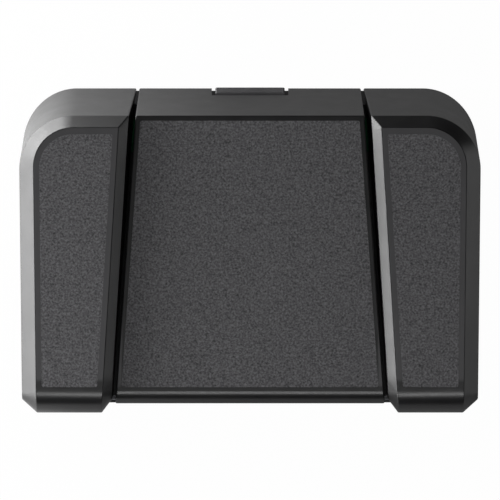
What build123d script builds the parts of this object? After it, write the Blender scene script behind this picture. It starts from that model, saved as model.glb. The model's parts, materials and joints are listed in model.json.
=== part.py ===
from build123d import *
from math import atan, cos, degrees, pi, radians, sin, tan
import os

# Three pedals side by side on one weighted base. The heel end faces -Y, the toe end +Y.
# X is right, Y is to the rear where the pedals are tall, Z is up, and the floor is Z = 0.

# Pedal tops
TOP_SLOPE = 15.0
RIDGE_Z = 60.0
REAR_EDGE_Y = 55.03
CROWN_DEPTH = 7.0
CROWN_WIDTH = 7.5
CROWN_INNER_WIDTH = 4.7
CROWN_CORNER_R = 28.2
CROWN_CUT_OVER = 1.2
EDGE_R = 0.8

# Pedal walls
REAR_LEAN = 38.8
SKIRT_Z = 6.5
OUTER_HALF = 119.5
OUTER_TAPER = 1.05
CENTRE_HALF = 64.5
PEDAL_GAP = 1.45
PLAN_TAPER = 3.45
CENTRE_DRAFT = 1.8
SIDE_DRAFT = 0.5
WALL = 2.5
INNER_SKIRT_FRONT_Z = 8.2
INNER_SKIRT_Z = 14.5
INNER_SKIRT_FRONT_Y = -62.0
INNER_SKIRT_REAR_Y = 84.0
INNER_SKIRT_CLEAR = 0.4

# Pedal noses
SIDE_FRONT_Y = -94.75
SIDE_NOSE_R = 9.8
CENTRE_FRONT_Y = -88.9
CENTRE_NOSE_R = 5.6
NOSE_ROLL_UNDER = 40.0
NOSE_POCKET_INNER = 4.2
NOSE_POCKET_OUTER = 6.4

# Treads
TREAD_T = 1.0
TREAD_FIT = 0.05
TREAD_SIDE_MARGIN = 3.0
TREAD_REAR_MARGIN = 3.6
TREAD_FRONT_MARGIN = 2.0
TREAD_CENTRE_MARGIN = 2.7
TREAD_CORNER_R = 1.2

# Hinges
HINGE_Y = -77.0
HINGE_Z = 11.0
PIN_R = 2.0
PIN_FIT = 0.03
PIN_HEAD_R = 3.2
PIN_HEAD_T = 1.2
PIN_TAIL = 2.0
BUSH_WALL = 1.0
BUSH_FIT = 0.02
KNUCKLE_R = 4.6
KNUCKLE_W = 7.0
KNUCKLE_GAP = 0.6
LUG_R = 4.6
LUG_W = 5.0
LUG_FOOT = 4.0
CLIP_R = 3.4
CLIP_T = 0.8
CLIP_GROOVE = 0.4
CLIP_FIT = 0.02
CLIP_MOUTH = 2.6

# Travel of a pedal
PRESS_ANGLE = 1.3

# Pedal frames
BOSS_H = 4.0
BOSS_R = 3.2
FRAME_T = 2.5
FRAME_FRONT_Y = -70.0
FRAME_REAR_Y = 38.0
FRAME_EDGE = 8.0
FRAME_CORNER_R = 3.0
FRAME_RIB_T = 2.0
FRAME_RIB_FRONT_Y = -58.0
FRAME_RIB_FRONT = 3.0
FRAME_RIB_REAR = 10.0
ARM_REAR_Y = -48.0
ARM_DROP = 3.0
TOWER_R = 8.0
SPIGOT_R = 4.6
SPIGOT_H = 3.0
FINGER_W = 6.0
FINGER_Z = 22.0
FINGER_TIP = 6.0
FINGER_ROOT_Y = 26.0
STOP_LEG = 6.0
STOP_LEG_Z = 20.0
HOOK_W = 8.0
HOOK_T = 3.5
HOOK_TOE = 5.5
HOOK_TOE_T = 3.0
FRAME_SCREW_FRONT_Y = -45.0
FRAME_SCREW_REAR_Y = 21.0
SCREW_R = 1.5
SCREW_FIT = 0.04
SCREW_HEAD_R = 2.8
SCREW_HEAD_T = 1.8
SCREW_SLOT = 0.8
SLOT_DEPTH_SHARE = 0.4
SCREW_CLEAR = 0.2

# Stations along a pedal that frames and base share
SPRING_Y = 14.0
STOP_Y = 30.0
HOOK_Y = 34.5
SWITCH_Y = 66.0

# Stations across the pedals, set in from a pedal's edge
SIDE_LUG_INSET = 12.3
SIDE_RIB_INSET = 20.8
SIDE_SCREW_INSET = 14.3
SIDE_STOP_INSET = 13.8
CENTRE_LUG_INSET = 7.5
CENTRE_RIB_INSET = 38.5
CENTRE_SCREW_INSET = 18.5
CENTRE_STOP_INSET = 26.5
CENTRE_HOOK_INSET = 49.5

# Springs
SPRING_R = 6.6
SPRING_WIRE = 1.6
SPRING_TURNS = 5
SPRING_STEPS = 12
SPRING_TOP_Z = 29.0
SPRING_END_SHARE = 0.6
SEAT_R = 9.0
SEAT_T = 1.5

# Base
FOOT_T = 1.6
FOOT_R = 9.0
FOOT_CHAMFER = 0.4
FOOT_INSET = 24.5
FOOT_FRONT_Y = -62.0
FOOT_REAR_Y = 62.0
PAN_T = 0.8
PAN_EDGE = 1.0
PAN_FRONT_Y = -84.4
PAN_REAR_Y = 94.75
PAN_CORNER_R = 32.0
PLATE_T = 2.2
PLATE_FRONT_Y = -83.6
PLATE_REAR_Y = 86.0
PLATE_EDGE = 4.8
PLATE_CORNER_R = 27.0
PLATE_FRONT_R = 4.0
TRAY_T = 1.6
TRAY_EDGE = 1.2
TRAY_RIB_T = 2.0
TRAY_RIB_H = 2.0
TRAY_RIB_FRONT_Y = -55.0
TRAY_RIB_REAR_Y = 50.0
TRAY_RIB_INSET = 21.0
POST_R = 5.0
BUMPER_R = 4.0
BUMPER_T = 4.0
BUMPER_GAP = 0.25
CATCH_GAP = 0.2
CATCH_Z = 12.5
CATCH_LIP = 2.6
CATCH_WALL = 3.0
CATCH_ROOM = 1.5
BASE_BOSS_R = 3.6
BASE_BOSS_H = 3.0
BASE_BOSS_ROOF = 0.8
BASE_SCREW_SINK = 1.8
BASE_SCREW_INSET = 16.5
BASE_SCREW_INNER_X = 33.0
BASE_SCREW_FRONT_Y = -36.0
BASE_SCREW_REAR_Y = 48.0

# Circuit board and its switches
STANDOFF_R = 3.2
STANDOFF_H = 2.0
BOARD_T = 1.6
BOARD_END = 2.3
BOARD_FRONT_Y = 56.0
BOARD_REAR_Y = 75.0
BOARD_TONGUE_HALF = 12.5
BOARD_TONGUE_Y = 84.0
BOARD_SCREW_R = 1.25
BOARD_SCREW_HEAD_R = 2.3
BOARD_SCREW_HEAD_T = 1.4
BOARD_SCREW_Y = 65.5
BOARD_SCREW_INNER_X = 19.0
BOARD_SCREW_INSET = 14.7
CHIP = 9.0
CHIP_T = 1.2
CHIP_X = 34.0
SWITCH_SIZE = 14.0
SWITCH_H = 7.5
SWITCH_TOP_SIZE = 10.5
SWITCH_FLOOR = 0.6
SWITCH_SHOULDER_SHARE = 0.55
STEM_R = 2.5
STEM_FIT = 0.1
STEM_LENGTH = 7.6
STEM_GAP = 0.2
STEM_CHAMFER = 0.5

# Port
PORT_HALF = 18.4
PORT_TOP_Z = 14.0
PORT_FRONT_Y = 76.5
PORT_REAR_Y = 91.8
PORT_HOOD_Z = 12.9
PORT_ROOF = 1.5
PORT_SIDE = 2.5
PORT_CUT_HALF = 20.3
PORT_CUT_Z = 19.0
PORT_EAR = 7.0
PORT_EAR_T = 2.5
PORT_EAR_Y = 80.0
PORT_STEP_CLEAR = 0.6
PORT_SCREW_CLEAR = 0.2
PLUG_POCKET_W = 16.0
PLUG_POCKET_H = 7.0
PLUG_POCKET_R = 2.5
PLUG_POCKET_Y = 86.4
PORT_BULKHEAD = 1.6
USB_W = 8.94
USB_H = 3.26
USB_WALL = 0.3
USB_LENGTH = 7.4
USB_FIT = 0.1
USB_SINK = 1.6
USB_ROUND_SHORT = 0.05
TONGUE_W = 6.7
TONGUE_T = 0.7
TONGUE_LENGTH = 5.6
TONGUE_BLOCK = 1.6

# Overruns that carry cuts and trims past the faces that they cross
OVER = 2.0
FAR = 150.0

# Unit directions and anchors worked out from the sizes above
NORMAL = Vector(0, -sin(radians(TOP_SLOPE)), cos(radians(TOP_SLOPE)))
UPHILL = Vector(0, cos(radians(TOP_SLOPE)), sin(radians(TOP_SLOPE)))
LEAN_DOWN = Vector(0, sin(radians(REAR_LEAN)), -cos(radians(REAR_LEAN)))
RIDGE_Y = REAR_EDGE_Y + CROWN_DEPTH * NORMAL.Y - CROWN_WIDTH * UPHILL.Y
SIDE_X = (CENTRE_HALF + PEDAL_GAP + OUTER_HALF) / 2
SIDE_HALF = OUTER_HALF - SIDE_X
SIDE_LUG_SPREAD = SIDE_HALF - SIDE_LUG_INSET
SIDE_RIB_SPREAD = SIDE_HALF - SIDE_RIB_INSET
SIDE_SCREW_SPREAD = SIDE_HALF - SIDE_SCREW_INSET
SIDE_STOP_SPREAD = SIDE_HALF - SIDE_STOP_INSET
CENTRE_LUG_SPREAD = CENTRE_HALF - CENTRE_LUG_INSET
CENTRE_RIB_SPREAD = CENTRE_HALF - CENTRE_RIB_INSET
CENTRE_SCREW_SPREAD = CENTRE_HALF - CENTRE_SCREW_INSET
CENTRE_STOP_SPREAD = CENTRE_HALF - CENTRE_STOP_INSET
CENTRE_HOOK_SPREAD = CENTRE_HALF - CENTRE_HOOK_INSET
PAN_TOP = FOOT_T + PAN_T
PLATE_TOP = PAN_TOP + PLATE_T
TRAY_TOP = PLATE_TOP + TRAY_T
BOARD_Z = TRAY_TOP + STANDOFF_H
BOARD_TOP = BOARD_Z + BOARD_T
BUSH_R = PIN_R + PIN_FIT + BUSH_WALL
FRAME_DEPTH = WALL + BOSS_H
USB_Z = BOARD_TOP - USB_SINK
PRESS_DROP_AT_STOP = (STOP_Y - HINGE_Y) * sin(radians(PRESS_ANGLE))
BUMPER_SEAT_Z = STOP_LEG_Z - PRESS_DROP_AT_STOP - BUMPER_GAP - BUMPER_T
TRAY_RIB_XS = (TRAY_RIB_INSET - SIDE_X, -CENTRE_STOP_SPREAD, CENTRE_STOP_SPREAD, SIDE_X - TRAY_RIB_INSET)
FOOT_X = OUTER_HALF - FOOT_INSET
BASE_SCREW_OUTER_X = OUTER_HALF - BASE_SCREW_INSET
BOARD_HALF = SIDE_X + SWITCH_SIZE / 2 + BOARD_END
BOARD_SCREW_OUTER_X = SIDE_X - BOARD_SCREW_INSET


def slope_z(y, depth):
    """Height at y of the plane that lies depth below the side pedals' tops."""
    return RIDGE_Z + (y - RIDGE_Y) * tan(radians(TOP_SLOPE)) - depth / NORMAL.Z


def slope_plane(depth):
    """Plane parallel to the pedal tops, its local y running up the slope."""
    return Plane(origin=(0, 0, slope_z(0, depth)), x_dir=(1, 0, 0), z_dir=NORMAL)


def along(y):
    """Distance up the slope that belongs to a y."""
    return y / UPHILL.Y


def rear_wall_y(z):
    """Outer face of the leaning rear wall at a height."""
    return REAR_EDGE_Y + (slope_z(REAR_EDGE_Y, CROWN_DEPTH) - z) * tan(radians(REAR_LEAN))


def prism(points, x_from, x_to):
    """Solid with a straight-sided outline in the YZ plane, between two x positions."""
    face = make_face(Polyline(*[(x_from, y, z) for y, z in points], close=True))
    return extrude(face, amount=x_to - x_from, dir=Vector(1, 0, 0))


def block(x_from, x_to, y_from, y_to, z_from, z_to):
    size = (x_to - x_from, y_to - y_from, z_to - z_from)
    return Pos(x_from, y_from, z_from) * Box(*size, align=(Align.MIN, Align.MIN, Align.MIN))


def post(x, y, z_from, z_to, radius):
    return Pos(x, y, z_from) * Cylinder(radius, z_to - z_from, align=(Align.CENTER, Align.CENTER, Align.MIN))


def rod(x_from, x_to, radius):
    """Round bar along the hinge axis."""
    bar = Cylinder(radius, x_to - x_from, align=(Align.CENTER, Align.CENTER, Align.MIN))
    return Pos(x_from, HINGE_Y, HINGE_Z) * Rot(0, 90, 0) * bar


def slope_place(x, y, depth):
    """Place on the axis that is square to the pedal tops and meets the side pedals' top at y."""
    return slope_plane(0) * Pos(x, along(y), -depth)


def slope_post(x, y, depth_from, depth_to, radius):
    """Round bar square to the pedal top, between two depths below it."""
    bar = Cylinder(radius, depth_from - depth_to, align=(Align.CENTER, Align.CENTER, Align.MIN))
    return slope_place(x, y, depth_from) * bar


def nose_centre(front_y, radius, depth):
    y = front_y + radius
    return y, slope_z(y, depth) - radius / NORMAL.Z


def long_section(front_y, radius, depth, inset, floor_z):
    """Floor, nose and top of a pedal, carried on to the rear past its wall."""
    cy, cz = nose_centre(front_y, radius, depth)
    r = radius - inset
    start = radians(90.0 + TOP_SLOPE)
    end = radians(180.0 + NOSE_ROLL_UNDER)
    half_way = (start + end) / 2
    top = (cy + r * cos(start), cz + r * sin(start))
    front = (cy + r * cos(half_way), cz + r * sin(half_way))
    low = (cy + r * cos(end), cz + r * sin(end))
    foot = (low[0] + (low[1] - floor_z) * tan(radians(NOSE_ROLL_UNDER)), floor_z)
    rear_top = (FAR, slope_z(FAR, depth + inset))
    rear_foot = (FAR, floor_z)
    edges = [
        Line(foot, low),
        ThreePointArc(low, front, top),
        Line(top, rear_top),
        Line(rear_top, rear_foot),
        Line(rear_foot, foot),
    ]
    face = make_face([Plane.YZ * edge for edge in edges])
    return extrude(face, amount=FAR, both=True)


def side_wall_plane(half, draft, outward):
    """Upright plane that stands at x = half on the skirt's edge at y = 0."""
    normal = Vector(1, tan(radians(PLAN_TAPER)), -tan(radians(draft))) * outward
    return Plane(origin=(half * outward, 0, SKIRT_Z), z_dir=normal)


def outline_low(inset):
    """Rear, outer and front edges of the right pedal in the plane under its crown."""
    rear = along(REAR_EDGE_Y) - inset
    front = along(-FAR)

    def outer_x(p):
        return OUTER_HALF + p * UPHILL.Y * tan(radians(OUTER_TAPER)) - inset

    corners = [(0, front), (outer_x(front), front), (outer_x(rear), rear), (0, rear)]
    sketch = make_face(Polyline(*corners, close=True))
    corner = sketch.vertices().group_by(Axis.Y)[-1].sort_by(Axis.X)[-1]
    return fillet(corner, radius=CROWN_CORNER_R - inset)


def crown_wedge(low_point, outward, width):
    """Triangle that trims the crown: its long edge is the chamfer, carried past both ends."""
    rise = NORMAL * CROWN_DEPTH - outward * width
    tip = low_point - rise * (CROWN_CUT_OVER / width)
    top = low_point + rise * (1 + OVER / width)
    corner = tip + NORMAL * (top - tip).dot(NORMAL)
    return make_face(Polyline(tip, top, corner, close=True))


def inner_low_point(y, inset):
    """Point on the right pedal's inner edge under its crown."""
    z = slope_z(y, CROWN_DEPTH + inset)
    x = CENTRE_HALF + PEDAL_GAP + inset - y * tan(radians(PLAN_TAPER))
    return Vector(x + (z - SKIRT_Z) * tan(radians(SIDE_DRAFT)), y, z)


def outer_low_point(y, inset):
    """Point on the right pedal's outer edge under its crown."""
    x = OUTER_HALF + y * tan(radians(OUTER_TAPER)) - inset
    return Vector(x, y, slope_z(y, CROWN_DEPTH + inset))


def edge_wedges(edge_point, inset, width, side, rear_y):
    """Cutters for the chamfer along one long edge, and round the nose on the outside form."""
    nose_y, nose_z = nose_centre(SIDE_FRONT_Y, SIDE_NOSE_R, 0)
    low_r = SIDE_NOSE_R - CROWN_DEPTH - inset
    start = edge_point(nose_y + low_r * NORMAL.Y, inset)
    rear = edge_point(rear_y, inset)
    forward = (start - rear).normalized()
    outward = NORMAL.cross(forward) * side
    face = crown_wedge(start, outward, width)
    pieces = [extrude(face, amount=(start - rear).length, dir=forward * -1)]
    if inset:
        pieces.append(extrude(face, amount=FAR, dir=forward))
        return pieces
    axis = Axis(start - NORMAL * low_r, NORMAL.cross(forward))
    roll = 90.0 - TOP_SLOPE + NOSE_ROLL_UNDER
    pieces.append(revolve(face, axis=axis, revolution_arc=roll))
    pieces.append(extrude(face.rotate(axis, roll), amount=SIDE_NOSE_R * 2, dir=forward.rotate(axis, roll)))
    return pieces


def crown_cutters(inset):
    """Everything that chamfers the right pedal's crown: rear edge, round corner, long edges."""
    taper = tan(radians(OUTER_TAPER)) * UPHILL.Y
    radius = CROWN_CORNER_R - inset
    centre_p = along(REAR_EDGE_Y) - inset - radius
    centre_x = OUTER_HALF - inset + taper * centre_p - radius * (1 + taper ** 2) ** 0.5
    centre = slope_plane(CROWN_DEPTH + inset).from_local_coords(Vector(centre_x, centre_p, 0))
    rear_face = crown_wedge(centre + UPHILL * radius, UPHILL, CROWN_WIDTH)
    turn = Axis(centre, NORMAL * -1)
    tangent_y = (centre_p - radius * sin(atan(taper))) * UPHILL.Y
    cutters = [
        extrude(rear_face, amount=FAR, dir=Vector(-1, 0, 0)),
        revolve(rear_face, axis=turn, revolution_arc=90.0 + degrees(atan(taper))),
    ]
    cutters += edge_wedges(outer_low_point, inset, CROWN_WIDTH, 1, tangent_y)
    cutters += edge_wedges(inner_low_point, inset, CROWN_INNER_WIDTH, -1, FAR)
    return cutters


def rounded(form, floor_z):
    """A pedal's outside with a small round on every edge above its skirt."""
    return fillet([edge for edge in form.edges() if edge.center().Z > floor_z + EDGE_R], radius=EDGE_R)


def side_form(inset, floor_z):
    """Outside form of the right pedal, or with an inset the room inside it."""
    face = slope_plane(CROWN_DEPTH) * outline_low(inset)
    form = extrude(face, amount=FAR, dir=LEAN_DOWN, both=True)
    form = form & long_section(SIDE_FRONT_Y, SIDE_NOSE_R, 0, inset, floor_z)
    inner = side_wall_plane(CENTRE_HALF + PEDAL_GAP + inset, SIDE_DRAFT, 1)
    form = split(form, bisect_by=inner, keep=Keep.TOP)
    for cutter in crown_cutters(inset):
        form = form - cutter
    return form


def side_room():
    """Hollow of the right pedal: its nose keeps solid ends under the rolled chamfers."""
    room = side_form(WALL, -FAR)
    nose_y, nose_z = nose_centre(SIDE_FRONT_Y, SIDE_NOSE_R, 0)
    plane = Plane(origin=(0, nose_y, nose_z), x_dir=(1, 0, 0), z_dir=UPHILL)
    inner_x = inner_low_point(nose_y, 0).X + NOSE_POCKET_INNER
    outer_x = outer_low_point(nose_y, 0).X - NOSE_POCKET_OUTER
    for x_from, x_to in ((0, inner_x), (outer_x, FAR)):
        width = x_to - x_from
        end = Box(width, FAR, FAR, align=(Align.MIN, Align.CENTER, Align.MAX))
        room = room - plane * Pos(x_from, 0, 0) * end
    return room


def centre_form(inset, floor_z):
    """Outside form of the centre pedal, or with an inset the room inside it."""
    form = long_section(CENTRE_FRONT_Y, CENTRE_NOSE_R, CROWN_DEPTH, inset, floor_z)
    for outward in (1, -1):
        wall = centre_wall_plane(inset, outward)
        form = split(form, bisect_by=wall, keep=Keep.BOTTOM)
    rear = Plane(
        origin=(0, REAR_EDGE_Y, slope_z(REAR_EDGE_Y, CROWN_DEPTH)),
        x_dir=(1, 0, 0),
        z_dir=LEAN_DOWN.cross(Vector(-1, 0, 0)),
    )
    return split(form, bisect_by=rear.offset(-inset), keep=Keep.BOTTOM)


def centre_wall_plane(inset, outward):
    normal = Vector(outward, tan(radians(PLAN_TAPER)), tan(radians(CENTRE_DRAFT)))
    return Plane(origin=((CENTRE_HALF - inset) * outward, 0, SKIRT_Z), z_dir=normal)


def inner_edge_x(y):
    """Skirt line of the right pedal's inner wall."""
    return CENTRE_HALF + PEDAL_GAP - y * tan(radians(PLAN_TAPER))


def outer_edge_x(y):
    """Outer face of the right pedal."""
    return OUTER_HALF + y * tan(radians(OUTER_TAPER))


def centre_top_half(y):
    """Half width of the centre pedal at its top edge."""
    rise = slope_z(y, CROWN_DEPTH) - SKIRT_Z
    return CENTRE_HALF - y * tan(radians(PLAN_TAPER)) - rise * tan(radians(CENTRE_DRAFT))


def side_tread_outline(grow):
    """Tread of the right pedal in the plane of its top."""
    rear = RIDGE_Y - TREAD_REAR_MARGIN * UPHILL.Y
    front = SIDE_FRONT_Y + SIDE_NOSE_R * (1 + NORMAL.Y) + TREAD_FRONT_MARGIN

    def inner_x(y):
        return inner_low_point(y, 0).X + CROWN_INNER_WIDTH + TREAD_SIDE_MARGIN - grow

    def outer_x(y):
        return outer_low_point(y, 0).X - CROWN_WIDTH - TREAD_SIDE_MARGIN + grow

    low = along(front) - grow
    high = along(rear) + grow
    corners = [(inner_x(front), low), (outer_x(front), low), (outer_x(rear), high), (inner_x(rear), high)]
    sketch = make_face(Polyline(*corners, close=True))
    by_height = sketch.vertices().sort_by(Axis.Y)
    rear_inner = by_height[-2:].sort_by(Axis.X)[0]
    sketch = fillet([*by_height[:2], rear_inner], radius=TREAD_CORNER_R + grow)
    big = sketch.vertices().group_by(Axis.Y)[-1].sort_by(Axis.X)[-1]
    big_r = CROWN_CORNER_R - CROWN_WIDTH - TREAD_SIDE_MARGIN
    half_way = (outer_x(rear) - inner_x(rear)) / 2
    return fillet(big, radius=min(big_r + grow, half_way))


def centre_tread_outline(grow):
    """Tread of the centre pedal in the plane of its top."""
    rear = REAR_EDGE_Y - TREAD_CENTRE_MARGIN * UPHILL.Y
    front = CENTRE_FRONT_Y + CENTRE_NOSE_R * (1 + NORMAL.Y) + TREAD_FRONT_MARGIN
    low = along(front) - grow
    high = along(rear) + grow
    front_half = centre_top_half(front) - TREAD_CENTRE_MARGIN + grow
    rear_half = centre_top_half(rear) - TREAD_CENTRE_MARGIN + grow
    corners = [(front_half, low), (rear_half, high), (-rear_half, high), (-front_half, low)]
    sketch = make_face(Polyline(*corners, close=True))
    return fillet(sketch.vertices(), radius=TREAD_CORNER_R + grow)


def tread(outline, top_depth):
    return extrude(slope_plane(top_depth) * outline(0), amount=TREAD_T, dir=NORMAL * -1)


def tread_recess(outline, top_depth):
    face = slope_plane(top_depth).offset(-TREAD_T) * outline(TREAD_FIT)
    return extrude(face, amount=TREAD_T + OVER, dir=NORMAL)


def inner_skirt_notch(x_from, x_to):
    """Room that the inner skirts leave for the base and the circuit board under them."""
    reach = WALL / cos(radians(REAR_LEAN)) + INNER_SKIRT_CLEAR
    rear_top = (rear_wall_y(INNER_SKIRT_Z) - reach, INNER_SKIRT_Z)
    rear_foot = (rear_wall_y(SKIRT_Z - OVER) - reach, SKIRT_Z - OVER)
    front = HINGE_Y - KNUCKLE_R
    steps = [
        (front, SKIRT_Z - OVER),
        (front, INNER_SKIRT_FRONT_Z),
        (INNER_SKIRT_FRONT_Y, INNER_SKIRT_FRONT_Z),
        (INNER_SKIRT_FRONT_Y, INNER_SKIRT_Z),
        rear_top,
        rear_foot,
    ]
    return prism(steps, x_from, x_to)


def bosses(top_depth, xs):
    """Screw bosses under a pedal's top."""
    posts = []
    for x in xs:
        for y in (FRAME_SCREW_FRONT_Y, FRAME_SCREW_REAR_Y):
            depth = top_depth + FRAME_DEPTH
            posts.append(slope_post(x, y, depth, top_depth + WALL - TREAD_T / 2, BOSS_R))
    return posts


def boss_holes(top_depth, xs):
    holes = []
    for x in xs:
        for y in (FRAME_SCREW_FRONT_Y, FRAME_SCREW_REAR_Y):
            depth = top_depth + FRAME_DEPTH + FRAME_T + OVER
            holes.append(slope_post(x, y, depth, top_depth + WALL, SCREW_R + SCREW_FIT))
    return holes


def around(middle, spread):
    return (middle - spread, middle + spread)


def side_shell():
    """Moulded cover of the right pedal."""
    shell = rounded(side_form(0, SKIRT_Z), SKIRT_Z) - side_room()
    shell = shell - tread_recess(side_tread_outline, 0)
    xs = around(SIDE_X, SIDE_SCREW_SPREAD)
    for boss in bosses(0, xs):
        shell = shell + boss
    for hole in boss_holes(0, xs):
        shell = shell - hole
    return shell - inner_skirt_notch(CENTRE_HALF / 2, inner_edge_x(HINGE_Y) + WALL + SCREW_CLEAR)


def centre_shell():
    """Moulded cover of the centre pedal, cut out at the rear for the port."""
    shell = rounded(centre_form(0, SKIRT_Z), SKIRT_Z) - centre_form(WALL, -FAR)
    shell = shell - tread_recess(centre_tread_outline, CROWN_DEPTH)
    xs = around(0, CENTRE_SCREW_SPREAD)
    for boss in bosses(CROWN_DEPTH, xs):
        shell = shell + boss
    for hole in boss_holes(CROWN_DEPTH, xs):
        shell = shell - hole
    inside = CENTRE_HALF - INNER_SKIRT_REAR_Y * tan(radians(PLAN_TAPER)) - WALL * 2
    shell = shell - inner_skirt_notch(inside, FAR)
    shell = shell - inner_skirt_notch(-FAR, -inside)
    return shell - block(-PORT_CUT_HALF, PORT_CUT_HALF, PORT_FRONT_Y, FAR, 0, PORT_CUT_Z)


def frame_plate(depth, inner_x, outer_x):
    """Flat web of a pedal's frame, square to the pedal top."""
    corners = [(edge(y), along(y)) for edge, y in (
        (inner_x, FRAME_FRONT_Y), (outer_x, FRAME_FRONT_Y), (outer_x, FRAME_REAR_Y), (inner_x, FRAME_REAR_Y),
    )]
    sketch = make_face(Polyline(*corners, close=True))
    sketch = fillet(sketch.vertices(), radius=FRAME_CORNER_R)
    return extrude(slope_plane(depth) * sketch, amount=FRAME_T, dir=NORMAL * -1)


def pedal_frame(depth, plate, middle, knuckle_xs, rib_xs, screw_xs, stop_xs, hook_xs):
    """Lever frame: web, ribs, hinge knuckles, spring tower, switch finger, stops and hooks."""
    mid_depth = depth + FRAME_T / 2
    low_depth = depth + FRAME_T

    def mid(y):
        return y, slope_z(y, mid_depth)

    def below(y, drop):
        return y, slope_z(y, low_depth) - drop

    frame = plate
    diagonal = KNUCKLE_R * cos(radians(45.0))
    for x in knuckle_xs:
        arm = [
            (HINGE_Y - diagonal, HINGE_Z + diagonal),
            mid(FRAME_FRONT_Y + FRAME_T),
            mid(ARM_REAR_Y),
            below(ARM_REAR_Y, ARM_DROP),
            (HINGE_Y + diagonal, HINGE_Z - diagonal),
        ]
        frame = frame + rod(x - KNUCKLE_W / 2, x + KNUCKLE_W / 2, KNUCKLE_R)
        frame = frame + prism(arm, x - KNUCKLE_W / 2, x + KNUCKLE_W / 2)
    for x in rib_xs:
        rib = [
            mid(FRAME_RIB_FRONT_Y),
            mid(FRAME_REAR_Y - FRAME_CORNER_R),
            below(FRAME_REAR_Y - FRAME_CORNER_R, FRAME_RIB_REAR),
            below(FRAME_RIB_FRONT_Y, FRAME_RIB_FRONT),
        ]
        frame = frame + prism(rib, x - FRAME_RIB_T / 2, x + FRAME_RIB_T / 2)
    for x in stop_xs:
        leg = [
            (STOP_Y - STOP_LEG / 2, STOP_LEG_Z),
            (STOP_Y + STOP_LEG / 2, STOP_LEG_Z),
            mid(STOP_Y + STOP_LEG / 2),
            mid(STOP_Y - STOP_LEG / 2),
        ]
        frame = frame + prism(leg, x - STOP_LEG / 2, x + STOP_LEG / 2)
    for x in hook_xs:
        frame = frame + prism(hook_profile(mid), x - HOOK_W / 2, x + HOOK_W / 2)
    finger = [
        mid(FINGER_ROOT_Y),
        mid(FRAME_REAR_Y - FRAME_T),
        (SWITCH_Y + FINGER_TIP / 2, FINGER_Z + FINGER_TIP),
        (SWITCH_Y + FINGER_TIP / 2, FINGER_Z),
        (SWITCH_Y - FINGER_TIP / 2, FINGER_Z),
        (SWITCH_Y - FINGER_TIP / 2, FINGER_Z + FINGER_TIP / 2),
    ]
    frame = frame + prism(finger, middle - FINGER_W / 2, middle + FINGER_W / 2)
    tower = post(middle, SPRING_Y, SPRING_TOP_Z, RIDGE_Z, TOWER_R)
    frame = frame + split(tower, bisect_by=slope_plane(mid_depth), keep=Keep.BOTTOM)
    frame = frame + post(middle, SPRING_Y, SPRING_TOP_Z - SPIGOT_H, SPRING_TOP_Z, SPIGOT_R)
    for x in knuckle_xs:
        frame = frame - rod(x - KNUCKLE_W, x + KNUCKLE_W, BUSH_R + BUSH_FIT)
    for hole in boss_holes(depth - FRAME_DEPTH, screw_xs):
        frame = frame - hole
    return frame


def hook_profile(mid):
    """Leg that reaches down from the web and turns forward under the tray's catch."""
    toe_top = CATCH_Z - CATCH_GAP
    toe_bottom = toe_top - HOOK_TOE_T
    return [
        (HOOK_Y - HOOK_TOE, toe_bottom),
        (HOOK_Y + HOOK_T, toe_bottom),
        mid(HOOK_Y + HOOK_T - FRAME_T / 2),
        mid(HOOK_Y),
        (HOOK_Y, toe_top),
        (HOOK_Y - HOOK_TOE, toe_top),
    ]


def side_frame():
    plate = frame_plate(
        FRAME_DEPTH,
        lambda y: inner_edge_x(y) + FRAME_EDGE,
        lambda y: outer_edge_x(y) - FRAME_EDGE,
    )
    return pedal_frame(
        FRAME_DEPTH,
        plate,
        SIDE_X,
        around(SIDE_X, knuckle_spread(SIDE_LUG_SPREAD)),
        around(SIDE_X, SIDE_RIB_SPREAD),
        around(SIDE_X, SIDE_SCREW_SPREAD),
        around(SIDE_X, SIDE_STOP_SPREAD),
        (SIDE_X,),
    )


def centre_frame():
    def half(y):
        return CENTRE_HALF - y * tan(radians(PLAN_TAPER)) - FRAME_EDGE

    depth = CROWN_DEPTH + FRAME_DEPTH
    plate = frame_plate(depth, lambda y: -half(y), half)
    return pedal_frame(
        depth,
        plate,
        0,
        around(0, knuckle_spread(CENTRE_LUG_SPREAD)),
        around(0, CENTRE_RIB_SPREAD),
        around(0, CENTRE_SCREW_SPREAD),
        around(0, CENTRE_STOP_SPREAD),
        around(0, CENTRE_HOOK_SPREAD),
    )


def knuckle_spread(lug_spread):
    """The knuckles stand inside the lugs."""
    return lug_spread - LUG_W / 2 - KNUCKLE_GAP - KNUCKLE_W / 2


def bushes(middle, lug_spread):
    """Plain bearings pressed into a frame's knuckles."""
    rings = []
    for x in around(middle, knuckle_spread(lug_spread)):
        ring = rod(x - KNUCKLE_W / 2, x + KNUCKLE_W / 2, BUSH_R)
        rings.append(ring - rod(x - KNUCKLE_W, x + KNUCKLE_W, PIN_R + PIN_FIT))
    return Compound(rings)


def screw(length, radius, head_r, head_t):
    """Slotted screw, its head's underside at the origin and its shank along +Z."""
    body = Cylinder(radius, length, align=(Align.CENTER, Align.CENTER, Align.MIN))
    body = body + Cylinder(head_r, head_t, align=(Align.CENTER, Align.CENTER, Align.MAX))
    slot = Box(head_r * 3, SCREW_SLOT, head_t * SLOT_DEPTH_SHARE, align=(Align.CENTER, Align.CENTER, Align.MIN))
    return body - Pos(0, 0, -head_t) * slot


def frame_screws(top_depth, xs):
    """Four screws that hold a pedal's cover to its frame."""
    seat = top_depth + FRAME_DEPTH + FRAME_T
    length = seat - top_depth - WALL - SCREW_CLEAR
    one = screw(length, SCREW_R, SCREW_HEAD_R, SCREW_HEAD_T)
    places = [slope_place(x, y, seat) for x in xs for y in (FRAME_SCREW_FRONT_Y, FRAME_SCREW_REAR_Y)]
    return Compound([place * one for place in places])


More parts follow.
